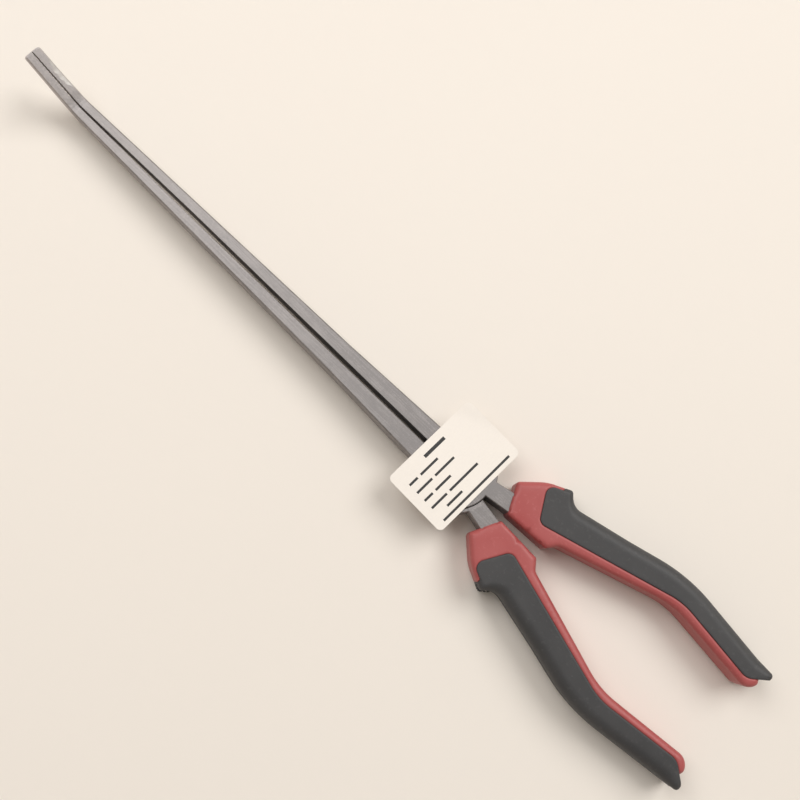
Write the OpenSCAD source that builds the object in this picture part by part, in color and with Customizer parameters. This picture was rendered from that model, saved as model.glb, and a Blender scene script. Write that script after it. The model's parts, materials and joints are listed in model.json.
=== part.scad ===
// Bent long-nose pliers with an extra long reach. Two forged halves cross in a riveted lap joint.
// Each handle has a hard sleeve with a soft overlay, and a blank paper label is stuck over the joint.
// The nose points along +X, the rivet stands along Z, and the tool lies on its grips at Z = 0.

/* [Nose] */
// Distance from the rivet to the bend of the nose
nose_reach = 204; // [160:1:220]
// Width over both jaws where they leave the joint
nose_root_w = 15.2; // [13:0.2:17]
// Width over both jaws a quarter of the way out
nose_shank_w = 12.4; // [11:0.2:14]
// Width over both jaws at the bend
nose_bend_w = 7.4; // [6:0.2:9]
// Width over both jaws at the end of the tip
nose_end_w = 6.2; // [5:0.2:7]
// Thickness of the jaws where they leave the joint
nose_root_t = 10.5; // [8:0.5:11]
// Thickness of the jaws at the bend
nose_bend_t = 6; // [4:0.5:8]
// Thickness of the jaws at the end of the tip
nose_end_t = 4.4; // [3:0.2:6]
// Angle by which the tip is bent up
bend_angle = 40; // [20:1:60]
// Length of the tip beyond the bend
tip_length = 25; // [15:1:40]
// Gap between the closed jaws along the shank
shank_gap = 1.8; // [0.6:0.1:3]
// Gap between the closed jaws at the bend
bend_gap = 0.9; // [0.4:0.1:1.5]
// Gap between the closed jaws at the end of the tip
end_gap = 0.3; // [0.2:0.1:0.6]
// Distance from one gripping tooth to the next
tooth_pitch = 1.6; // [1.2:0.1:3]
// Depth of the gripping teeth
tooth_depth = 0.3; // [0.2:0.05:0.6]

/* [Joint] */
// Thickness of the two lapped plates together
joint_t = 11; // [9:0.5:13]
// Radius of each lapped plate
plate_r = 12.6; // [11:0.1:14]
// Outer radius of the shoulders that wrap the plates
shoulder_r = 14.2; // [13.5:0.1:16]
// Gap between a plate and the other half's shoulder
shoulder_gap = 0.3; // [0.2:0.05:0.6]
// Gap between the two lapped faces
lap_gap = 0.06; // [0.04:0.02:0.2]
// Angle to which the handles open
open_angle = 28; // [15:1:30]
// Radius of the rivet's shank
rivet_r = 4; // [3:0.5:5]
// Radius of the rivet's countersunk heads
rivet_head_r = 6.4; // [5:0.2:8]
// Running clearance of the upper half on the rivet
rivet_clearance = 0.05; // [0.03:0.01:0.1]

/* [Handles] */
// Thickness of the grips
grip_t = 14; // [13:0.5:18]
// Thickness of the steel tangs inside the grips
tang_t = 8; // [6:0.5:9]
// Width of the stepped rounding on the grips' edges
grip_edge = 1.2; // [0.6:0.1:1.5]
// Thickness of the soft overlay
overlay_t = 1.6; // [1:0.1:2]

/* [Label] */
// Length of the label across the nose
label_length = 40.5; // [30:0.5:42]
// Width of the label along the nose
label_width = 26.5; // [20:0.5:28]
// Thickness of the label's paper
label_paper_t = 0.15; // [0.1:0.05:0.3]
// Thickness of the glue under the label
label_glue_t = 0.1; // [0.05:0.05:0.2]

/* [Hidden] */
$fn = 96;

// Heights
mid_z = grip_t / 2;
joint_low_z = mid_z - joint_t / 2;
joint_top_z = mid_z + joint_t / 2;
far = 400;

// The tip's end, taken along its middle line, and how far its rounded lower corner reaches
tip_run = tip_length * cos(bend_angle);
tip_rise = tip_length * sin(bend_angle);
end_round = 1.2;
end_corner_x = nose_reach + tip_run + nose_end_t / 2 * sin(bend_angle);
tip_x = end_corner_x - end_round * (cos(bend_angle) + sin(bend_angle) - 1);
grip_end_x = -126;

// The part's origin is under the middle of its length, and the rivet stands off it
rivet_x = -(tip_x + grip_end_x) / 2;

// Radii of the bend, inside and outside
bend_in_r = 6;
bend_out_r = bend_in_r + nose_bend_t;

// Where the jaws leave the joint, and where the shank's taper changes
root_x = 18;
shank_x = 60;
gap_taper_x = 140;

// The shoulders meet at this angle and stop the handles
stop_margin = 0.6;
jaw_shoulder_end = 85;
tang_shoulder_end = jaw_shoulder_end + open_angle + stop_margin;

// The sleeve's round end, behind which the overlay runs out in a tail
sleeve_end_x = -123.2;
bulge = [-83.3, 31.3];
hollow = [-85.7, 19.3];
tail = [grip_end_x, 25.8];
heel = [grip_end_x, 15.1];
function along(a, b, x) = a.y + (b.y - a.y) * (x - a.x) / (b.x - a.x);

// Outline of one grip, as [x, y, corner radius], seen from above with the grip on the +Y side.
// Both of its layers follow it, and each has its own end.
function grip_outline(end_x, tail_r) = [
    [-22.5, 1.6, 1.2], [-17.1, 12.6, 1.5], [-25, 20.1, 18], [-33.8, 24.3, 1.4],
    [-37.8, 20.4, 6], [-60, 25.4, 60], [bulge.x, bulge.y, 60],
    [end_x, along(bulge, tail, end_x), tail_r], [end_x, along(hollow, heel, end_x), 4.5],
    [hollow.x, hollow.y, 32], [-43.2, 6, 3.5], [-40.3, 2.3, 1.2]
];
sleeve_outline = grip_outline(sleeve_end_x, 3);

// Outline of the soft overlay: it runs off the grip on the outer side and at the rear
overlay_outline = [
    [-31.8, 40, 0], [-31.2, 21.7, 0.6], [-25.6, 19.1, 3], [-32.6, 7, 3], [-87, 22.2, 25],
    [-119, 18.3, 5], [-133, 29.4, 0], [-133, 40, 0]
];

// Outline of one tang, from the shoulder to its end inside the grip
tang_outline = [
    [-6, 7.2, 0], [-12, 7.2, 20], [-27, 10.6, 30], [-60, 21.6, 40], [-83, 28, 20], [-112, 25, 2.4],
    [-112, 20.2, 2.4], [-88, 22, 20], [-27, 3, 30], [-12, 0.8, 20], [-6, 0.8, 0]
];

// Rounds each corner of an outline of [x, y, radius] points
corner_steps = 8;
function xy(v) = [v.x, v.y];
function unit(v) = v / norm(v);
function corner_arc(centre, p, q, r) =
    let (start = atan2(p.y - centre.y, p.x - centre.x), end = atan2(q.y - centre.y, q.x - centre.x))
    let (turn = (end - start + 540) % 360 - 180)
    [for (i = [0:corner_steps]) centre + r * [cos(start + turn * i / corner_steps),
                                              sin(start + turn * i / corner_steps)]];
function corner(a, b, c, r) =
    let (u = unit(a - b), w = unit(c - b), half = acos(u * w) / 2, reach = r / tan(half))
    corner_arc(b + unit(u + w) * r / sin(half), b + u * reach, b + w * reach, r);
function rounded(v) =
    let (n = len(v))
    [for (i = [0:n - 1]) each v[i].z == 0 ? [xy(v[i])]
        : corner(xy(v[(i + n - 1) % n]), xy(v[i]), xy(v[(i + 1) % n]), v[i].z)];

// Moves each side of a counter-clockwise outline inwards, and keeps its arcs concentric
function left_of(a, b) = let (u = unit(b - a)) [-u.y, u.x];
function inset_corner(a, b, c, r, d) =
    let (p = left_of(a, b), q = left_of(b, c), moved = b + (p + q) / (1 + p * q) * d)
    [moved.x, moved.y, max(0.2, r - sign(cross(b - a, c - b)) * d)];
function inset(v, d) =
    let (n = len(v))
    [for (i = [0:n - 1]) inset_corner(xy(v[(i + n - 1) % n]), xy(v[i]), xy(v[(i + 1) % n]), v[i].z, d)];

// Moves a shape drawn about the rivet into the part's own frame
module placed() {
    translate([rivet_x, 0, 0]) children();
}

// Swaps a shape between the +Y side and the -Y side
module crossed() {
    mirror([0, 1, 0]) children();
}

module slab(low, high) {
    translate([0, 0, low]) linear_extrude(high - low) children();
}

// One jaw seen from above, on the +Y side, with its swell into the joint
module jaw_outline() {
    flare = 48;
    polygon(rounded([
        [0, shank_gap / 2, 0], [gap_taper_x, shank_gap / 2, 90], [nose_reach, bend_gap / 2, 30],
        [end_corner_x, end_gap / 2, 0], [end_corner_x, nose_end_w / 2, 1.5], [nose_reach, nose_bend_w / 2, 30],
        [shank_x, nose_shank_w / 2, 90], [root_x, nose_root_w / 2, 8],
        [shoulder_r * cos(flare), shoulder_r * sin(flare), 0], [0, plate_r / 2, 0]
    ]));
}

// The nose seen from the side, with the bend at its end
module nose_profile() {
    slope = (nose_root_t - nose_bend_t) / 2 / (nose_reach - root_x);
    half_t = nose_root_t / 2 + root_x * slope;
    bend_shift = nose_bend_t / 2 * tan(bend_angle / 2);
    end_dx = nose_end_t / 2 * sin(bend_angle);
    end_dz = nose_end_t / 2 * cos(bend_angle);
    polygon(rounded([
        [0, mid_z - half_t, 0],
        [nose_reach + bend_shift, mid_z - nose_bend_t / 2, bend_out_r],
        [end_corner_x, mid_z + tip_rise - end_dz, end_round],
        [nose_reach + tip_run - end_dx, mid_z + tip_rise + end_dz, 0.8],
        [nose_reach - bend_shift, mid_z + nose_bend_t / 2, bend_in_r],
        [0, mid_z + half_t, 0]
    ]));
}

// V-shaped teeth cut across the gripping face of the tip
module teeth() {
    first = 4;
    side = tooth_depth * sqrt(2);
    translate([nose_reach, 0, mid_z]) rotate([0, -bend_angle, 0])
        for (s = [first:tooth_pitch:tip_length - 1])
            translate([s, (bend_gap + (end_gap - bend_gap) * s / tip_length) / 2, 0])
                rotate([0, 0, 45]) cube([side, side, 3 * nose_bend_t], center = true);
}

// A jaw on the +Y side
module jaw() {
    difference() {
        intersection() {
            slab(0, far) jaw_outline();
            rotate([90, 0, 0]) translate([0, 0, -far / 2]) linear_extrude(far) nose_profile();
        }
        teeth();
    }
}

// A tang on the +Y side: full thickness up to the grip's mouth, and thinner inside it
module tang() {
    step_x = -24;
    slab(mid_z - tang_t / 2, mid_z + tang_t / 2) polygon(rounded(tang_outline));
    slab(joint_low_z, joint_top_z) intersection() {
        polygon(rounded(tang_outline));
        translate([step_x, 0]) square([-step_x, far]);
    }
}

// The part of the shoulder ring between two angles
module shoulder(start, end) {
    steps = 24;
    inner = plate_r - 1;
    arc = [for (i = [0:steps]) start + (end - start) * i / steps];
    back = [for (i = [0:steps]) arc[steps - i]];
    slab(joint_low_z, joint_top_z) polygon([
        for (a = arc) shoulder_r * [cos(a), sin(a)],
        for (a = back) inner * [cos(a), sin(a)]
    ]);
}

// One half with its jaw on the +Y side and its tang on the -Y side. Its own plate fills the height
// from plate_low to plate_high, and the other half's plate turns in the room below or above.
module forged_half(plate_low, plate_high, room_low, room_high) {
    difference() {
        union() {
            jaw();
            crossed() tang();
            shoulder(30, jaw_shoulder_end);
            crossed() shoulder(tang_shoulder_end, 153);
            slab(plate_low, plate_high) circle(plate_r);
        }
        slab(room_low, room_high) circle(plate_r + shoulder_gap);
    }
}

// The rivet's outline turned about its axis, larger all round by the clearance
module rivet_shape(clearance) {
    head_depth = rivet_head_r - rivet_r;
    low = joint_low_z;
    top = joint_top_z - label_glue_t;
    rotate_extrude() polygon([
        [0, low], [rivet_head_r + clearance, low], [rivet_r + clearance, low + head_depth],
        [rivet_r + clearance, top - head_depth], [rivet_head_r + clearance, top], [0, top]
    ]);
}

module rivet_hole(clearance) {
    rivet_shape(clearance);
    translate([0, 0, joint_top_z - label_glue_t])
        cylinder(h = 1, r = rivet_head_r + clearance);
}

module lower_half() {
    color([0.66, 0.65, 0.63]) placed() difference() {
        crossed() forged_half(joint_low_z, mid_z - lap_gap / 2, mid_z - lap_gap / 2, far);
        rivet_hole(0);
    }
}

module upper_half() {
    color([0.72, 0.71, 0.69]) placed() difference() {
        forged_half(mid_z + lap_gap / 2, joint_top_z, -1, mid_z + lap_gap / 2);
        rivet_hole(rivet_clearance);
    }
}

module pivot_rivet() {
    color([0.5, 0.5, 0.5]) placed() rivet_shape(0);
}

// A layer of a grip with its edges rounded in steps
module grip_shape(outline) {
    steps = 3;
    for (i = [0:steps]) {
        a = 90 * i / steps;
        low = grip_edge * (1 - sin(a));
        slab(low, grip_t - low) polygon(rounded(inset(outline, grip_edge * (1 - cos(a)))));
    }
}

// The part of the grip that the overlay leaves to the sleeve under it
module grip_core() {
    slab(overlay_t, grip_t - overlay_t) polygon(rounded(inset(sleeve_outline, overlay_t)));
}

module overlay_room() {
    slab(-1, far) polygon(rounded(overlay_outline));
}

// A sleeve on the +Y side
module sleeve() {
    difference() {
        grip_shape(sleeve_outline);
        difference() {
            overlay_room();
            grip_core();
        }
        tang();
    }
}

// An overlay on the +Y side
module overlay() {
    difference() {
        intersection() {
            grip_shape(grip_outline(grip_end_x, 1.4));
            overlay_room();
        }
        grip_core();
    }
}

module left_sleeve() {
    color([0.62, 0.12, 0.12]) placed() sleeve();
}

module left_overlay() {
    color([0.1, 0.1, 0.1]) placed() overlay();
}

module right_sleeve() {
    color([0.62, 0.12, 0.12]) placed() crossed() sleeve();
}

module right_overlay() {
    color([0.1, 0.1, 0.1]) placed() crossed() overlay();
}

// The label is glued to the upper plate only, and stands clear of the lower half
module label_outline() {
    along = label_width / 2;
    across = label_length / 2;
    r = 2;
    translate([2.8, -0.9]) rotate(-1.3) polygon(rounded([
        [-along, -across, r], [along, -across, r], [along, across, r], [-along, across, r]
    ]));
}

module paper_label() {
    glue_r = plate_r - 0.6;
    glue_z = joint_top_z + label_glue_t;
    color([0.95, 0.93, 0.9]) placed() {
        slab(glue_z, glue_z + label_paper_t) label_outline();
        slab(joint_top_z, glue_z) intersection() {
            circle(glue_r);
            label_outline();
        }
    }
}

lower_half();
upper_half();
pivot_rivet();
left_sleeve();
left_overlay();
right_sleeve();
right_overlay();
paper_label();
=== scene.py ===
"""Looks of the bent long-nose pliers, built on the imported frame.

Plan shapes are written in millimetres about the rivet: +X along the nose, +Y towards the left
handle, and Z from the table. Every solid is a plan that a height is given to on both sides.
"""

import json
import math
import random

import bpy
import numpy as np
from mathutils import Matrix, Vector, geometry


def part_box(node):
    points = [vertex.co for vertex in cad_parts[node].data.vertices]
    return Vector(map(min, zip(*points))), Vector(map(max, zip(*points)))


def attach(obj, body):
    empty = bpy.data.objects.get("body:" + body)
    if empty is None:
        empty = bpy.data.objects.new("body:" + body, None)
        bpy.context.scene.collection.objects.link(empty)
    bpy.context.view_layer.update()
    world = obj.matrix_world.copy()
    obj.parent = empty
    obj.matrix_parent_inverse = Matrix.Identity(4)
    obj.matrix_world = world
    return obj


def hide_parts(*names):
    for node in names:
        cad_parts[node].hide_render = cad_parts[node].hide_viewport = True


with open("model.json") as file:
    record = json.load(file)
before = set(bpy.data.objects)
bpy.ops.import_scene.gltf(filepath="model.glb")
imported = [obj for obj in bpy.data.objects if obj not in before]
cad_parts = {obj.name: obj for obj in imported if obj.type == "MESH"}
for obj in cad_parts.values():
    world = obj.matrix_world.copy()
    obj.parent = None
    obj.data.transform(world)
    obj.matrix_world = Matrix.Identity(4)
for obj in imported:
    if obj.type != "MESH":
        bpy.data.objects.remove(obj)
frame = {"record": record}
MM = 0.001
RECORD = frame["record"]
LEFT_BODY, RIGHT_BODY = "left_handle_half", "right_handle_half"
RIVET = np.array(RECORD["behaviour"]["joints"][0]["pos_m"]) / MM


def save_box():
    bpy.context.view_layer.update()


save_box()


# ---------------------------------------------------------------- sizes, in mm
GRIP_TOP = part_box("left_sleeve")[1].z / MM
MID_Z = GRIP_TOP / 2
JOINT_T = 11.0
JOINT_TOP = MID_Z + JOINT_T / 2
JOINT_LOW = 2 * MID_Z - JOINT_TOP
GLUE_T = 0.1
LABEL_LOW = JOINT_TOP + GLUE_T
LAP_GAP = 0.06
GRIP_END = (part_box("left_overlay")[0].x / MM) - RIVET[0]

NOSE_REACH = 204.0
BEND = math.radians(40)
BEND_R = 9.0
TIP_LENGTH = 25.0
BEND_START = NOSE_REACH - BEND_R * math.tan(BEND / 2)
BEND_END = BEND_START + BEND_R * BEND
NOSE_END = BEND_END + TIP_LENGTH - BEND_R * math.tan(BEND / 2)

PLATE_R = 12.6
SHOULDER_GAP = 0.3
SHOULDER_R = 14.2
RIVET_R = 4.0
RIVET_HEAD_R = 6.4
RIVET_CLEARANCE = 0.04
# The arcs of the shoulders round the plates, in degrees
JAW_SHOULDER = (30, 85)
TANG_SHOULDER = (113.6, 153)

# Points of the nose's outer edge, as (distance from the rivet, half the nose's width)
FLARE = (9.5, 10.55)
ROOT = (14.5, 7.7)
SHANK = (60, 6.2)
AT_BEND = (NOSE_REACH, 3.7)
AT_END = (NOSE_END, 3.35)
# Half the gap between the jaws along the shank, at the bend and at the end
SHANK_GAP, BEND_GAP, END_GAP = 0.9, 0.32, 0.12
TOOTH_PITCH, TOOTH_DEPTH = 1.6, 0.15

# Where the flat faces of the nose, the joint and the tangs begin and end along the nose
NOSE_FACE, JOINT_FACE, TANG_FACE = 14, (-23.5, 11), -26
TANG_HALF_T = 4.0


# ---------------------------------------------------------------- plan outlines
def unit(v):
    return v / np.linalg.norm(v)


def rounded(corners, step=0.5):
    """Turns [x, y, radius] corners into a closed loop of points with round corners."""
    points = []
    count = len(corners)
    for i, (x, y, radius) in enumerate(corners):
        before, here = np.array(corners[i - 1][:2], float), np.array((x, y), float)
        after = np.array(corners[(i + 1) % count][:2], float)
        if radius == 0:
            points.append(here)
            continue
        u, w = unit(before - here), unit(after - here)
        half = math.acos(np.clip(u @ w, -1, 1)) / 2
        centre = here + unit(u + w) * radius / math.sin(half)
        p, q = here + u * radius / math.tan(half), here + w * radius / math.tan(half)
        start = math.atan2(*(p - centre)[::-1])
        turn = (math.atan2(*(q - centre)[::-1]) - start + 3 * math.pi) % (2 * math.pi) - math.pi
        steps = max(3, math.ceil(abs(turn) * radius / step), math.ceil(abs(turn) / 0.2))
        for k in range(steps + 1):
            angle = start + turn * k / steps
            points.append(centre + radius * np.array((math.cos(angle), math.sin(angle))))
    return np.array(points)


def spaced(loop, step):
    """Splits the long sides of a closed loop."""
    points = []
    for a, b in zip(loop, np.roll(loop, -1, 0)):
        parts = max(1, math.ceil(np.linalg.norm(b - a) / step))
        points += [a + (b - a) * k / parts for k in range(parts)]
    return np.array(points)


def arc(radius, start, end, step=3):
    """Points of an arc about the rivet, between two angles in degrees."""
    count = max(2, math.ceil(abs(end - start) / step))
    angles = np.radians(np.linspace(start, end, count + 1))
    return np.c_[radius * np.cos(angles), radius * np.sin(angles)]


def circle(radius, step=3):
    return arc(radius, 0, 360, step)[:-1]


def mirrored(loop):
    """The loop on the other side of the nose, still counter-clockwise."""
    return (loop * (1, -1))[::-1]


def inside_loop(points, loop):
    """Which points lie inside a closed loop."""
    x, y = points[:, 0, None], points[:, 1, None]
    ax, ay = loop[:, 0], loop[:, 1]
    bx, by = np.roll(ax, -1), np.roll(ay, -1)
    crosses = (ay > y) != (by > y)
    with np.errstate(divide="ignore", invalid="ignore"):
        at = ax + (y - ay) * (bx - ax) / (by - ay)
    return (np.sum(crosses & (x < at), axis=1) % 2).astype(bool)


def distance(points, a, b):
    """Distance from each point to the nearest of the segments a-b."""
    if len(a) == 0:
        return np.full(len(points), 1e3)
    out = np.empty(len(points))
    along = b - a
    length2 = np.maximum((along**2).sum(1), 1e-12)
    for i in range(0, len(points), 2000):
        p = points[i : i + 2000, None, :]
        t = np.clip(((p - a) * along).sum(2) / length2, 0, 1)
        out[i : i + 2000] = np.sqrt((((a + t[..., None] * along) - p) ** 2).sum(2).min(1))
    return out


def loop_distance(points, loop):
    return distance(points, loop, np.roll(loop, -1, 0))


def outward(loop):
    """Unit vectors that point out of a counter-clockwise loop, at its points."""
    ahead = np.roll(loop, -1, 0) - np.roll(loop, 1, 0)
    out = np.c_[ahead[:, 1], -ahead[:, 0]]
    return out / np.linalg.norm(out, axis=1)[:, None]


def edge_drop(d, radius):
    """How far an edge rounded to a radius lies under the face, at a distance d from the rim."""
    radius = np.broadcast_to(radius, d.shape)
    inward = np.clip(radius - d, 0, None)
    return radius - np.sqrt(np.clip(radius**2 - inward**2, 0, None))


def smooth(x):
    """0 below 0, 1 above 1, and smooth between."""
    t = np.clip(x, 0, 1)
    return t * t * (3 - 2 * t)


# ---------------------------------------------------------------- solids from plans
def triangulated(loops, lines, extra, inside):
    """Triangles of the plan, along the loops and lines and with the extra points as corners."""
    verts, edges = [], []
    for loop in loops:
        first = len(verts)
        verts += [Vector(p) for p in loop]
        edges += [(first + k, first + (k + 1) % len(loop)) for k in range(len(loop))]
    for line in lines:
        edges.append((len(verts), len(verts) + 1))
        verts += [Vector(p) for p in line]
    verts += [Vector(p) for p in extra]
    out = geometry.delaunay_2d_cdt(verts, edges, [], 0, 1e-5, False)
    points = np.array([tuple(p) for p in out[0]])
    faces = np.array([f for f in out[2] if len(f) == 3])
    return points, faces[inside(points[faces].mean(1))]


def rim_of(faces, chosen):
    """Directed edges with a chosen triangle on their left and none on their right."""
    seen = {}
    for f in faces[chosen]:
        for k in range(3):
            seen[(f[k], f[(k + 1) % 3])] = True
    return [e for e in seen if (e[1], e[0]) not in seen]


def rim_samples(points, rim, depths):
    """Points straight inside the rim's own, at each of the depths, for a regular rounded edge."""
    inward = {}
    for a, b in rim:
        along = unit(points[b] - points[a])
        for p in (a, b):
            inward[p] = inward.get(p, 0) + np.array((-along[1], along[0]))
    out = [points[p] + unit(n) * d for p, n in inward.items() if n @ n > 0.5 for d in depths]
    return np.array(out).reshape(-1, 2)


def plan_solid(loops, inside, top, bottom, step, depths, top_on=None, bottom_on=None,
               lines=(), extra=()):
    """A closed solid over a plan.

    top and bottom give the height of points from where they are and the ends of that side's rim
    edges. Where top_on or bottom_on is false, that side is a flat lap face at mid height instead.
    """
    everywhere = lambda p: np.ones(len(p), bool)
    top_on, bottom_on = top_on or everywhere, bottom_on or everywhere
    points, faces = triangulated(loops, lines, [], inside)
    centres = points[faces].mean(1)
    extra = [np.array(extra).reshape(-1, 2)]
    for on in (top_on, bottom_on):
        extra.append(rim_samples(points, rim_of(faces, on(centres)), depths))
    low, high = points.min(0), points.max(0)
    rows = np.arange(low[1], high[1], step * 0.87)
    columns = [np.arange(low[0] + (i % 2) * step / 2, high[0], step) for i in range(len(rows))]
    grid = np.concatenate([np.c_[xs, np.full_like(xs, y)] for xs, y in zip(columns, rows)])
    grid = grid[inside(grid)]
    sides = np.concatenate([np.stack([l, np.roll(l, -1, 0)], 1) for l in loops])
    grid = grid[distance(grid, sides[:, 0], sides[:, 1]) > max(depths) + step * 0.4]
    near = np.concatenate(extra)
    near = near[inside(near)]
    near = near[distance(near, sides[:, 0], sides[:, 1]) > min(depths) * 0.9]
    points, faces = triangulated(loops, lines, np.concatenate([near, grid]), inside)
    centres = points[faces].mean(1)

    heights = {}
    flags = {"top": top_on(centres), "bottom": bottom_on(centres)}
    for side, shape in (("top", top), ("bottom", bottom)):
        rim = np.array(rim_of(faces, flags[side]), int).reshape(-1, 2)
        heights[side] = shape(points, points[rim[:, 0]], points[rim[:, 1]])
    heights["lap_top"] = np.full(len(points), MID_Z - LAP_GAP / 2)
    heights["lap_bottom"] = np.full(len(points), MID_Z + LAP_GAP / 2)
    return sheets_and_walls(points, faces, flags, heights)


def sheets_and_walls(points, faces, flags, heights):
    """Joins the upper and lower sheets of a plan with walls along every step and rim."""
    verts, index, out = [], {}, []

    def corner(p, kind):
        if (p, kind) not in index:
            index[(p, kind)] = len(verts)
            verts.append((points[p][0], points[p][1], heights[kind][p]))
        return index[(p, kind)]

    owner = {}
    for i, (a, b, c) in enumerate(faces):
        up = "top" if flags["top"][i] else "lap_top"
        down = "bottom" if flags["bottom"][i] else "lap_bottom"
        out.append([corner(p, up) for p in (a, b, c)])
        out.append([corner(p, down) for p in (c, b, a)])
        for edge in ((a, b), (b, c), (c, a)):
            owner[edge] = (up, down)
    for (a, b), (up, down) in owner.items():
        other = owner.get((b, a))
        if other is None:
            out.append([corner(a, down), corner(b, down), corner(b, up), corner(a, up)])
            continue
        if up == "top" and other[0] == "lap_top":
            out.append([corner(a, "lap_top"), corner(b, "lap_top"), corner(b, up), corner(a, up)])
        if down == "bottom" and other[1] == "lap_bottom":
            out.append([corner(a, down), corner(b, down), corner(b, "lap_bottom"),
                        corner(a, "lap_bottom")])
    return np.array(verts), out


def make_object(name, solids, material, body, replaces=(), sharp=32, second=None):
    """Makes one object from solids in plan millimetres, and rides it on its body.

    second is another material, and a test of the face centres in the part's frame that take it.
    """
    verts, faces = [], []
    for v, f in solids:
        first = sum(map(len, verts))
        verts.append(v)
        faces += [[first + k for k in face] for face in f]
    co = (np.concatenate(verts) + (RIVET[0], RIVET[1], 0)) * MM
    mesh = bpy.data.meshes.new(name)
    mesh.from_pydata(co.tolist(), [], faces)
    mesh.validate()
    mesh.polygons.foreach_set("use_smooth", [True] * len(mesh.polygons))
    mesh.set_sharp_from_angle(angle=math.radians(sharp))
    mesh.materials.append(material)
    if second:
        mesh.materials.append(second[0])
        centres = np.array([tuple(f.center) for f in mesh.polygons]) / MM - (RIVET[0], RIVET[1], 0)
        mesh.polygons.foreach_set("material_index", second[1](centres).astype(int).tolist())
    obj = bpy.data.objects.new(name, mesh)
    bpy.context.scene.collection.objects.link(obj)
    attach(obj, body)
    if replaces:
        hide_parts(*replaces)


def flipped(solid):
    """The same solid on the other side of the nose."""
    verts, faces = solid
    return verts * (1, -1, 1), [face[::-1] for face in faces]


# ---------------------------------------------------------------- materials
class Nodes:
    """A short way to write a node tree."""

    def __init__(self, name):
        self.material = bpy.data.materials.new(name)
        self.material.use_nodes = True
        self.tree = self.material.node_tree
        self.shader = self.tree.nodes["Principled BSDF"]
        self.place = self.tree.nodes.new("ShaderNodeTexCoord").outputs["Object"]

    def set(self, **values):
        for name, value in values.items():
            self.shader.inputs[name.replace("_", " ")].default_value = value

    def link(self, output, name):
        self.tree.links.new(output, self.shader.inputs[name])

    def scaled(self, x, y, z):
        node = self.tree.nodes.new("ShaderNodeMapping")
        node.inputs["Scale"].default_value = (x, y, z)
        self.tree.links.new(self.place, node.inputs["Vector"])
        return node.outputs["Vector"]

    def noise(self, scale, detail=3.0, roughness=0.5, place=None):
        node = self.tree.nodes.new("ShaderNodeTexNoise")
        node.inputs["Scale"].default_value = scale
        node.inputs["Detail"].default_value = detail
        node.inputs["Roughness"].default_value = roughness
        self.tree.links.new(place or self.place, node.inputs["Vector"])
        return node.outputs["Fac"]

    def ramp(self, value, low, high, out_low=0.0, out_high=1.0):
        node = self.tree.nodes.new("ShaderNodeMapRange")
        node.inputs["From Min"].default_value = low
        node.inputs["From Max"].default_value = high
        node.inputs["To Min"].default_value = out_low
        node.inputs["To Max"].default_value = out_high
        self.tree.links.new(value, node.inputs["Value"])
        return node.outputs["Result"]

    def mix(self, factor, a, b):
        node = self.tree.nodes.new("ShaderNodeMix")
        node.data_type = "RGBA"
        for socket, value in ((6, a), (7, b)):
            if isinstance(value, tuple):
                node.inputs[socket].default_value = (*value, 1)
            else:
                self.tree.links.new(value, node.inputs[socket])
        self.tree.links.new(factor, node.inputs[0])
        return node.outputs[2]

    def maths(self, operation, a, b):
        node = self.tree.nodes.new("ShaderNodeMath")
        node.operation = operation
        for socket, value in ((0, a), (1, b)):
            if isinstance(value, (int, float)):
                node.inputs[socket].default_value = value
            else:
                self.tree.links.new(value, node.inputs[socket])
        return node.outputs[0]

    def along_x(self):
        node = self.tree.nodes.new("ShaderNodeSeparateXYZ")
        self.tree.links.new(self.place, node.inputs["Vector"])
        return node.outputs["X"]

    def bump(self, height, distance, strength=1.0):
        node = self.tree.nodes.new("ShaderNodeBump")
        node.inputs["Distance"].default_value = distance
        node.inputs["Strength"].default_value = strength
        self.tree.links.new(height, node.inputs["Height"])
        self.link(node.outputs["Normal"], "Normal")


def steel(name, light, dark, rough=0.5):
    """Bare forged steel, ground along its length, darker towards the joint, and with a painted
    highlight that lightens the tip past the bend.
    """
    n = Nodes(name)
    lines = n.noise(1.0, 4, 0.6, n.scaled(60, 2300, 2300))
    blotch = n.noise(130, 4, 0.6)
    grain = n.noise(1900, 3, 0.65)
    # Darker towards the joint and the tangs, lighter along the nose.
    darker_to_joint = n.ramp(n.along_x(), -0.06, 0.12, -0.336, -0.036)
    blotches = n.ramp(blotch, 0.3, 0.7, -0.07, 0.2)
    streaks = n.maths("ADD", blotches, n.ramp(lines, 0.3, 0.7, -0.07, 0.4))
    # Painted highlight: past the bend the steel is mixed towards its light colour, to light the
    # tip's face.
    painted_tip_light = n.ramp(n.along_x(), 0.152, 0.159, -0.03, 0.55)
    # The painted tip highlight, plus a fine random grain of tone.
    painted_tip_light_and_grain = n.maths("ADD", painted_tip_light, n.ramp(grain, 0.3, 0.7, 0.0, 0.3))
    n.link(n.mix(n.maths("ADD", n.maths("ADD", streaks, darker_to_joint), painted_tip_light_and_grain), dark, light), "Base Color")
    smears = n.ramp(blotch, 0.3, 0.7, -0.03, 0.05)
    n.link(n.maths("ADD", n.ramp(lines, 0.3, 0.7, rough, rough + 0.1), smears), "Roughness")
    relief = n.maths("ADD", n.maths("MULTIPLY", lines, 0.7), n.maths("MULTIPLY", grain, 0.8))
    n.bump(relief, 0.00003, 0.7)
    n.set(Metallic=0.7)
    return n.material


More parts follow.
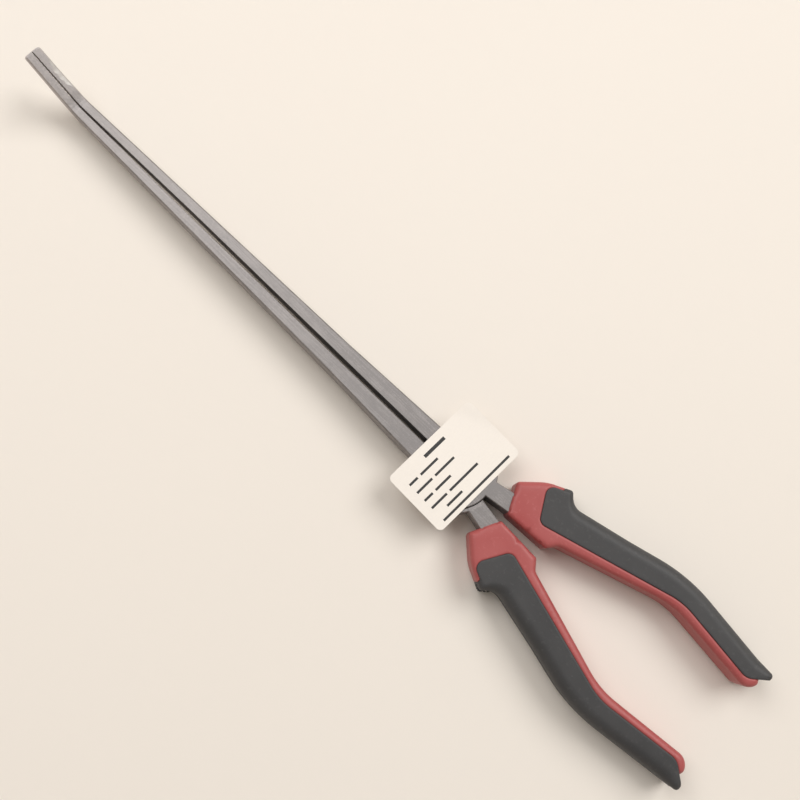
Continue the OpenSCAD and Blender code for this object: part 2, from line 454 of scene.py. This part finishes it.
def moulded(name, base, light, rough, grain_size, bump):
    """Moulded plastic or rubber with a fine spark-eroded grain."""
    n = Nodes(name)
    cloud = n.noise(60, 4, 0.55)
    grain = n.noise(grain_size, 2, 0.5)
    speck = n.noise(900, 2, 0.4)
    tone = n.maths("ADD", n.ramp(cloud, 0.3, 0.7, 0.1, 0.5), n.ramp(speck, 0.6, 0.75, 0.0, 0.4))
    n.link(n.mix(tone, base, light), "Base Color")
    n.link(n.ramp(cloud, 0.3, 0.7, rough - 0.04, rough + 0.06), "Roughness")
    n.bump(grain, bump, 0.5)
    n.set(Specular_IOR_Level=0.4)
    return n.material


def paper(name):
    """Coated label paper with faint fibres."""
    n = Nodes(name)
    fibre = n.noise(1.0, 3, 0.6, n.scaled(2600, 900, 900))
    n.link(n.mix(fibre, (0.86, 0.80, 0.735), (0.92, 0.865, 0.795)), "Base Color")
    n.set(Roughness=0.55)
    n.bump(fibre, 0.00001, 0.4)
    return n.material


STEEL = steel("ground_steel", (0.55, 0.517, 0.51), (0.25, 0.235, 0.232))
RIVET_STEEL = steel("rivet_steel", (0.42, 0.40, 0.385), (0.27, 0.255, 0.245), 0.4)
# A lighter copy of the steel for the hand-ground facet on the tip: a painted reflection.
FACET_PAINTED_REFLECTION = steel("facet_steel_painted_reflection", (0.56, 0.54, 0.52), (0.40, 0.385, 0.37), 0.55)
RED = moulded("red_elastomer", (0.375, 0.072, 0.07), (0.47, 0.135, 0.13), 0.42, 3800, 0.00003)
BLACK = moulded("black_rubber", (0.042, 0.0415, 0.043), (0.075, 0.074, 0.075), 0.52, 3000, 0.00004)
PAPER = paper("label_paper")
INK = moulded("label_ink", (0.03, 0.03, 0.03), (0.06, 0.06, 0.06), 0.6, 3000, 0.000005)


# ---------------------------------------------------------------- the two steel halves
def nose_half_width(x):
    return np.interp(x, *zip((9, 10.4), ROOT, SHANK, AT_BEND, AT_END))


def nose_half_height(x):
    return np.interp(x, [0, NOSE_REACH, NOSE_END], [5.47, 3.0, 2.2])


def jaw_loop(shift):
    """A jaw on the +Y side, with its fine teeth on the gripping face of the tip."""
    teeth = []
    plain_end = 1.5
    first = BEND_END + plain_end + shift
    for k in range(int((NOSE_END - plain_end - first) / TOOTH_PITCH)):
        x = first + k * TOOTH_PITCH
        y = np.interp(x, [NOSE_REACH, NOSE_END], [BEND_GAP, END_GAP])
        teeth += [(x, y, 0), (x + TOOTH_PITCH / 2, y + TOOTH_DEPTH, 0)]
    corners = [
        (0, SHANK_GAP, 0), (140, SHANK_GAP, 90), (NOSE_REACH, BEND_GAP, 30), *teeth,
        (NOSE_END, END_GAP, 0), (*AT_END, 1.0), (*AT_BEND, 30), (*SHANK, 90), (*ROOT, 3),
        (*FLARE, 0), (0, PLATE_R / 2, 0),
    ]
    return spaced(rounded(corners, 0.6), 1.2)


def tang_loop():
    """A tang on the +Y side."""
    corners = [
        (-6, 7.2, 0), (-12, 7.2, 20), (-27, 10.6, 30), (-60, 21.6, 40), (-83, 28, 20),
        (-112, 25, 2.4), (-112, 20.2, 2.4), (-88, 22, 20), (-27, 3, 30), (-12, 0.8, 20),
        (-6, 0.8, 0),
    ]
    return spaced(rounded(corners, 0.8), 1.5)


def shoulder_loop(start, end):
    return np.concatenate([arc(SHOULDER_R, start, end), arc(PLATE_R - 1, end, start)])


# The bend is drawn as flat facets, which meet at these places along the straight nose
BEND_FACETS = 3
BREAK_LINES = [
    BEND_START + k * (BEND_END - BEND_START) / BEND_FACETS for k in range(BEND_FACETS + 1)
]


def bend_up(solid):
    """Bends the nose, which is drawn straight, up about the axis across its end."""
    verts, faces = solid
    s, n = verts[:, 0], verts[:, 2] - MID_Z
    share = np.clip((s - BEND_START) / (BEND_END - BEND_START), 0, 1) * BEND_FACETS
    angles = BEND * np.arange(BEND_FACETS + 1) / BEND_FACETS
    whole = np.minimum(share.astype(int), BEND_FACETS - 1)
    part, a, b = share - whole, angles[whole], angles[whole + 1]
    across = lambda start, end: (1 - part) * start + part * end
    past = np.clip(s - BEND_END, 0, None)
    x = BEND_START + (BEND_R - n) * across(np.sin(a), np.sin(b)) + past * math.cos(BEND)
    z = MID_Z + BEND_R - (BEND_R - n) * across(np.cos(a), np.cos(b)) + past * math.sin(BEND)
    bent = s > BEND_START
    out = verts.copy()
    out[:, 0], out[:, 2] = np.where(bent, x, s), np.where(bent, z, verts[:, 2])
    return out, faces


def chamfer_drop(d, width):
    """How far a ground chamfer of 45 degrees lies under the face, at a distance d from the rim."""
    return np.clip(width - d, 0, None)


def facet_width(s):
    """Width of the hand-ground facet at a distance along the straightened nose."""
    grow, fade = smooth((s - BEND_END - 2) / 6), smooth((NOSE_END - 3 - s) / 7)
    return (2.0 + 0.25 * np.sin(s * 2.1)) * grow * fade


def hand_facet(points):
    """How deep the facet cuts that was ground by hand along the outer edge of the tip."""
    s, y = points[:, 0], np.abs(points[:, 1])
    return 0.36 * np.clip(facet_width(s) - (nose_half_width(s) - y), 0, None)


def on_hand_facet(centres):
    """Which face centres of the bent nose lie on the hand-ground facet."""
    x, y, z = centres.T
    past = (x - NOSE_REACH) * math.cos(BEND) + (z - MID_Z) * math.sin(BEND)
    height = (z - MID_Z) * math.cos(BEND) - (x - NOSE_REACH) * math.sin(BEND)
    s = BEND_END + past - BEND_R * math.tan(BEND / 2)
    return (past > 1) & (height > 1) & (facet_width(s) > nose_half_width(s) - np.abs(y))


def chamfer_width(points):
    """Width of the ground edge: wide on the nose's outer side, and narrow on its gripping side."""
    x, y = points[:, 0], np.abs(points[:, 1])
    on_nose, on_joint = np.where(y > nose_half_width(x) * 0.55, 0.55, 0.1), 0.3
    return np.where(x > NOSE_FACE, on_nose, on_joint)


def inner_edges(loop):
    """Segments along the inner side of the ground edge of a counter-clockwise loop."""
    inner = loop - outward(loop) * chamfer_width(loop)[:, None]
    return list(zip(inner, np.roll(inner, -1, 0)))


def steel_height(points, a, b, facet):
    """Half the thickness of a half at each point, with its rims ground off."""
    x = points[:, 0]
    joint = (JOINT_TOP - JOINT_LOW) / 2
    flat = np.interp(x, [TANG_FACE, *JOINT_FACE, NOSE_FACE],
                     [TANG_HALF_T, joint, joint, nose_half_height(NOSE_FACE)])
    flat = np.where(x > NOSE_FACE, nose_half_height(x), flat)
    d = distance(points, a, b)
    return flat - chamfer_drop(d, chamfer_width(points)) - (hand_facet(points) if facet else 0)


def half(side):
    """One forged half, drawn with its jaw on the +Y side. The upper half has its plate on top."""
    jaw, tang = jaw_loop(TOOTH_PITCH / 2 if side == "upper" else 0), mirrored(tang_loop())
    shoulders = [shoulder_loop(*JAW_SHOULDER), mirrored(shoulder_loop(*TANG_SHOULDER))]
    plate, room = circle(PLATE_R), circle(PLATE_R + SHOULDER_GAP)
    hole = circle(RIVET_HEAD_R + RIVET_CLEARANCE)
    loops = [jaw, tang, *shoulders, plate, room, hole]
    lines = [((x, -1), (x, 15)) for x in (NOSE_FACE, *BREAK_LINES)]
    lines += [((x, -13), (x, 0.5)) for x in (TANG_FACE, JOINT_FACE[0])]
    for loop in (jaw, tang, *shoulders, plate, hole[::-1]):
        lines += inner_edges(loop)
    if side == "lower":
        s = np.arange(BEND_END - 1, NOSE_END, 0.5)
        border = np.c_[s, nose_half_width(s) - np.clip(facet_width(s), 0.05, None)]
        lines += list(zip(border[:-1], border[1:]))

    def inside(p):
        steel_here = np.any([inside_loop(p, l) for l in (jaw, tang, *shoulders, plate)], axis=0)
        return steel_here & ~inside_loop(p, hole)

    def full(p):
        """Which points are clear of the lap, where the steel has its whole thickness."""
        return np.hypot(p[:, 0], p[:, 1]) > PLATE_R + SHOULDER_GAP - 0.01

    on = {"bottom_on": full} if side == "upper" else {"top_on": full}
    up = lambda p, a, b: MID_Z + steel_height(p, a, b, side == "lower")
    down = lambda p, a, b: MID_Z - steel_height(p, a, b, False)
    return bend_up(plan_solid(loops, inside, up, down, 0.9, (1.2,), lines=lines, **on))


STEEL_SHARP = 11
make_object("upper_half_forging", [half("upper")], STEEL, RIGHT_BODY,
            ["upper_half"], STEEL_SHARP)
# The tip facet of the lower half takes the lighter steel, a painted reflection.
make_object("lower_half_forging", [flipped(half("lower"))], STEEL, LEFT_BODY,
            ["lower_half"], STEEL_SHARP, second=(FACET_PAINTED_REFLECTION, on_hand_facet))


# ---------------------------------------------------------------- grips
SLEEVE_END = -123.7
BULGE, HOLLOW = (-83.3, 31.3), (-85.7, 19.3)
TAIL, HEEL = (GRIP_END, 25.8), (GRIP_END, 15.1)


def along(a, b, x):
    return a[1] + (b[1] - a[1]) * (x - a[0]) / (b[0] - a[0])


def grip_loop(end_x, tail_r):
    """Outline of a grip on the +Y side. Both of its layers follow it, each to its own end."""
    return spaced(rounded([
        (-22.5, 1.6, 1.2), (-17.1, 12.6, 1.5), (-25, 20.1, 18), (-33.8, 24.3, 1.4),
        (-37.8, 20.4, 6), (-60, 25.4, 60), (*BULGE, 60),
        (end_x, along(BULGE, TAIL, end_x), tail_r), (end_x, along(HOLLOW, HEEL, end_x), 4.5),
        (*HOLLOW, 32), (-43.2, 6, 3.5), (-40.3, 2.3, 1.2),
    ]), 0.8)


OVERLAY_CORNERS = [
    (-31.8, 40, 0), (-31.2, 21.7, 0.6), (-25.6, 19.1, 3), (-32.6, 7, 3), (-87, 22.2, 25),
    (-119, 18.3, 5), (-133, 29.4, 0), (-133, 40, 0),
]
GRIP = grip_loop(GRIP_END, 1.4)
SLEEVE = grip_loop(SLEEVE_END, 3)
OVERLAY = spaced(rounded(OVERLAY_CORNERS, 0.4), 0.5)
CENTRE_LINE = np.array([(-17, 8), (-30, 11.5), (-38, 12), (-60, 18.6), (-85, 24.8), (-126, 20.5)])


def grip_radius(points):
    """Edge radius of a grip: larger on the outer side than on the inner."""
    middle = np.interp(-points[:, 0], -CENTRE_LINE[:, 0], CENTRE_LINE[:, 1])
    outer = smooth((points[:, 1] - middle + 1.5) / 3)
    guard = smooth((points[:, 0] + 40) / 8)
    return 2.0 + outer * (2.4 - 1.6 * guard) - 0.6 * guard


def signed(points, loop):
    """Distance to a loop, positive inside it."""
    return loop_distance(points, loop) * np.where(inside_loop(points, loop), 1, -1)


# How far the overlay stands proud of the sleeve, and how far the sleeve is set back under it
PROUD = 0.25
UNDER_OVERLAY = 1.3
GRIP_STEP = 0.7
EDGE_DEPTHS = (0.04, 0.16, 0.4, 0.8, 1.3)


def sleeve_solid():
    """A red sleeve on the +Y side. Under the overlay it is set back."""
    loop = SLEEVE - outward(SLEEVE) * (UNDER_OVERLAY * inside_loop(SLEEVE, OVERLAY))[:, None]
    beside = [OVERLAY + outward(OVERLAY) * d for d in (-0.9, -0.4, -0.18, 0.18, 0.4, 0.8)]

    def face(points, a, b):
        depth = signed(points, OVERLAY)
        groove = 0.3 * np.clip(1 - np.abs(depth) / 0.3, 0, None)
        crown = 0.12 * smooth(loop_distance(points, SLEEVE) / 4)
        edge = edge_drop(distance(points, a, b), grip_radius(points))
        under = UNDER_OVERLAY * smooth((depth - 0.1) / 0.5)
        return GRIP_TOP / 2 - PROUD - 0.12 + crown - edge - under - groove

    up = lambda p, a, b: MID_Z + face(p, a, b)
    down = lambda p, a, b: MID_Z - face(p, a, b)
    return plan_solid([loop, OVERLAY], lambda p: inside_loop(p, loop), up, down, GRIP_STEP,
                      EDGE_DEPTHS, extra=np.concatenate(beside))


def overlay_solid():
    """A black overlay on the +Y side, standing a little proud of the sleeve."""
    def face(points, a, b):
        middle = (a + b) / 2
        on_border = loop_distance(middle, OVERLAY) < loop_distance(middle, GRIP)
        outer = distance(points, a[~on_border], b[~on_border])
        border = distance(points, a[on_border], b[on_border])
        tail = smooth((-118 - points[:, 0]) / 8)
        drop = edge_drop(outer, grip_radius(points) * (1 - 0.5 * tail))
        return GRIP_TOP / 2 - drop - edge_drop(border, 0.4)

    up = lambda p, a, b: MID_Z + face(p, a, b)
    down = lambda p, a, b: MID_Z - face(p, a, b)
    inside = lambda p: inside_loop(p, GRIP) & inside_loop(p, OVERLAY)
    return plan_solid([GRIP, OVERLAY], inside, up, down, GRIP_STEP, (*EDGE_DEPTHS, 2.0, 3.0))


def sheet(loop, low, high):
    """A thin flat sheet over a loop."""
    level = lambda z: lambda p, a, b: np.full(len(p), z)
    return plan_solid([loop], lambda p: inside_loop(p, loop), level(high), level(low), 2.0, (0.1,))


def parting_line():
    """The fine ridge where the two mould halves met, around the overlay's outer side."""
    loop = GRIP + outward(GRIP) * 0.1
    keep = inside_loop(GRIP, OVERLAY)
    start = np.flatnonzero(keep & ~np.roll(keep, 1))[0]
    order = np.roll(np.arange(len(loop)), -start)[: keep.sum()]
    ribbon = np.concatenate([loop[order], (GRIP - outward(GRIP) * 0.6)[order][::-1]])
    return sheet(ribbon, MID_Z - 0.12, MID_Z + 0.12)


def flash(path, reach, z, seed):
    """Ragged rubber that squeezed out of the mould along a path."""
    rng = random.Random(seed)
    path = spaced(np.array(path), 0.35)[:-1]
    count = len(path)
    ahead = np.gradient(path, axis=0)
    out = np.c_[ahead[:, 1], -ahead[:, 0]] / np.linalg.norm(ahead, axis=1)[:, None]
    share = np.sin(np.linspace(0, math.pi, count))
    length = np.array([rng.uniform(0.25, 1.0) for _ in range(count)]) * reach * share + 0.05
    loop = np.concatenate([path + out * length[:, None], (path - out * 0.8)[::-1]])
    return sheet(loop, z - 0.15, z + 0.15)


def open_path(loop, start, end):
    """The points of a loop between the ones nearest to two places."""
    a, b = (int(np.argmin(np.hypot(*(loop - p).T))) for p in (start, end))
    return loop[a : b + 1] if a <= b else np.concatenate([loop[a:], loop[: b + 1]])


def overlay_flash(seed):
    """Flash on the overlay's shoulder."""
    shoulder = open_path(GRIP, (-31.9, 23.4), (-36.5, 21.7))
    return [flash(shoulder, 0.7, 4.6, seed), flash(shoulder, 0.55, 8.6, seed + 1)]


sleeve, overlay = sleeve_solid(), overlay_solid()
make_object("left_grip_sleeve", [sleeve], RED, LEFT_BODY, ["left_sleeve"])
make_object("left_grip_overlay", [overlay, parting_line(), *overlay_flash(3)], BLACK, LEFT_BODY,
            ["left_overlay"])
make_object("right_grip_sleeve", [flipped(sleeve)], RED, RIGHT_BODY, ["right_sleeve"])
make_object("right_grip_overlay",
            [flipped(s) for s in (overlay, parting_line(), *overlay_flash(11))], BLACK, RIGHT_BODY,
            ["right_overlay"])


# ---------------------------------------------------------------- rivet and label
def turned(profile, steps=96):
    """A solid turned about the rivet's axis from (radius, z) points that start and end on it."""
    angles = np.linspace(0, 2 * math.pi, steps, endpoint=False)
    rings = profile[1:-1]
    verts = [(0, 0, profile[0][1]), (0, 0, profile[-1][1])]
    verts += [(r * math.cos(a), r * math.sin(a), z) for r, z in rings for a in angles]
    at = lambda ring, k: 2 + ring * steps + k % steps
    faces = [(0, at(0, k + 1), at(0, k)) for k in range(steps)]
    faces += [(1, at(len(rings) - 1, k), at(len(rings) - 1, k + 1)) for k in range(steps)]
    for ring in range(len(rings) - 1):
        faces += [(at(ring, k), at(ring, k + 1), at(ring + 1, k + 1), at(ring + 1, k))
                  for k in range(steps)]
    return np.array(verts), [list(f) for f in faces]


def rivet_solid():
    """The rivet, with a punched centre and a turned ring on each of its flush heads."""
    head = [(0, 0.45), (0.9, 0.12), (1.3, 0.02), (4.9, 0.0), (5.05, 0.1), (5.25, 0.1), (5.4, 0.0),
            (RIVET_HEAD_R - 0.25, 0.0), (RIVET_HEAD_R, 0.2), (RIVET_HEAD_R, 1.2)]
    neck = (RIVET_R - 0.02, 3.0)
    low, high = JOINT_LOW, JOINT_TOP - 0.1
    lower, upper = [*head, neck], [neck, *head[::-1]]
    return turned([(r, low + z) for r, z in lower] + [(r, high - z) for r, z in upper])


make_object("pivot_rivet_turned", [rivet_solid()], RIVET_STEEL, LEFT_BODY,
            ["pivot_rivet"])


LABEL_CENTRE, LABEL_TURN = (2.8, -0.9), math.radians(-1.3)
LABEL_ALONG, LABEL_ACROSS = 26.5, 40.5


def on_label(loop):
    """Moves a loop drawn on the label's own axes to its place."""
    c, s = math.cos(LABEL_TURN), math.sin(LABEL_TURN)
    return np.array(loop) @ np.array([[c, s], [-s, c]]) + LABEL_CENTRE


def paper_lift(points):
    """How far the paper stands off the joint: a gentle wave, and a corner that curls up."""
    corner = (points - (16, -21)) @ unit(np.array((-0.35, 0.9)))
    return 0.5 * smooth((9 - corner) / 9) ** 2 + 0.06 * np.sin(points[:, 1] / 5)


def paper_sheet(loop, low, high):
    up = lambda p, a, b: LABEL_LOW + high + paper_lift(p)
    down = lambda p, a, b: LABEL_LOW + low + paper_lift(p)
    return plan_solid([loop], lambda p: inside_loop(p, loop), up, down, 0.9, (0.05, 0.4))


def label_solid():
    """The paper label."""
    x, y, r = LABEL_ALONG / 2, LABEL_ACROSS / 2, 2
    corners = [(-x, -y, r), (x, -y, r), (x, y, r), (-x, y, r)]
    return paper_sheet(spaced(on_label(rounded(corners)), 1.0), 0.06, 0.2)


def printed_bar(place, start, end, height):
    """A plain dark bar printed across the label where a line of writing would be."""
    low, high = place - height / 2, place + height / 2
    corners = [(low, -end, 0), (high, -end, 0), (high, -start, 0), (low, -start, 0)]
    return paper_sheet(spaced(on_label(rounded(corners)), 1.0), 0.19, 0.215)


# Bars as (place along the nose, start and end across it from the middle, height)
BARS = [
    (9.6, -5.5, 4.5, 1.3), (6.0, -16.5, -12.5, 0.9), (6.0, -11.0, -2.5, 0.9),
    (2.2, -16.5, -9.0, 0.9), (2.2, -7.5, 2.0, 0.9), (-1.6, -16.5, -12.5, 0.9),
    (-1.6, -11.0, -3.5, 0.9), (-5.2, -16.5, -9.0, 0.9), (-5.2, -7.5, 6.5, 0.9),
    (-8.4, -12.0, -4.5, 0.9), (-11.2, -16.5, 16.5, 0.9),
]

make_object("paper_label_sheet", [label_solid()], PAPER, RIGHT_BODY,
            ["paper_label"])
make_object("paper_label_bars", [printed_bar(*bar) for bar in BARS], INK, RIGHT_BODY)


# ---------------------------------------------------------------- table, lights, camera
def table_top():
    """A pale table that curves up into a round wall far from the part."""
    n = Nodes("table_top")
    cloud = n.noise(3.0, 3, 0.5)
    n.link(n.mix(cloud, (0.83, 0.773, 0.705), (0.86, 0.803, 0.735)), "Base Color")
    n.set(Roughness=0.7)
    steps, radius, bend, height = 96, 2.6, 0.8, 3.0
    rise = [(radius + bend * math.sin(a), bend * (1 - math.cos(a)))
            for a in np.linspace(0, math.pi / 2, 17)]
    rings = [(0.5, 0), (1.5, 0), *rise, (radius + bend, height)]
    angles = np.linspace(0, 2 * math.pi, steps, endpoint=False)
    verts = [(0, 0, 0)] + [(r * math.cos(a), r * math.sin(a), z) for r, z in rings for a in angles]
    at = lambda ring, k: 1 + ring * steps + k % steps
    faces = [(0, at(0, k), at(0, k + 1)) for k in range(steps)]
    for ring in range(len(rings) - 1):
        faces += [(at(ring, k), at(ring + 1, k), at(ring + 1, k + 1), at(ring, k + 1))
                  for k in range(steps)]
    mesh = bpy.data.meshes.new("table_top")
    mesh.from_pydata(verts, [], faces)
    mesh.polygons.foreach_set("use_smooth", [True] * len(faces))
    mesh.materials.append(n.material)
    obj = bpy.data.objects.new("table_top", mesh)
    obj.location.z = -0.0001
    bpy.context.scene.collection.objects.link(obj)


def area_light(name, place, target, size, power, colour):
    data = bpy.data.lights.new(name, "AREA")
    data.shape = "DISK"
    data.size = size
    data.energy = power
    data.color = colour
    obj = bpy.data.objects.new(name, data)
    obj.location = place
    obj.rotation_euler = (Vector(target) - Vector(place)).to_track_quat("-Z", "Y").to_euler()
    bpy.context.scene.collection.objects.link(obj)


def camera():
    data = bpy.data.cameras.new("camera")
    data.sensor_width = 36
    data.lens = 38.25
    obj = bpy.data.objects.new("camera", data)
    obj.location = (Vector((-2.35, 44.84, 313.85)) + Vector((RIVET[0], 0, 0))) * MM
    obj.rotation_euler = [math.radians(a) for a in (11.25, -1.699, -135.535)]
    bpy.context.scene.collection.objects.link(obj)
    bpy.context.scene.camera = obj


def sky():
    world = bpy.data.worlds.new("sky")
    world.use_nodes = True
    background = world.node_tree.nodes["Background"]
    background.inputs["Color"].default_value = (1.0, 0.98, 0.96, 1)
    background.inputs["Strength"].default_value = 0.28
    bpy.context.scene.world = world


table_top()
sky()
area_light("window", (-0.45, -1.6, 1.85), (0, 0, 0), 1.6, 36, (1.0, 0.99, 0.97))
area_light("ceiling", (0.75, -0.1, 1.2), (0.12, 0, 0), 1.1, 9.5, (1.0, 0.98, 0.96))
camera()
bpy.context.scene.view_settings.view_transform = "Standard"

save_box()
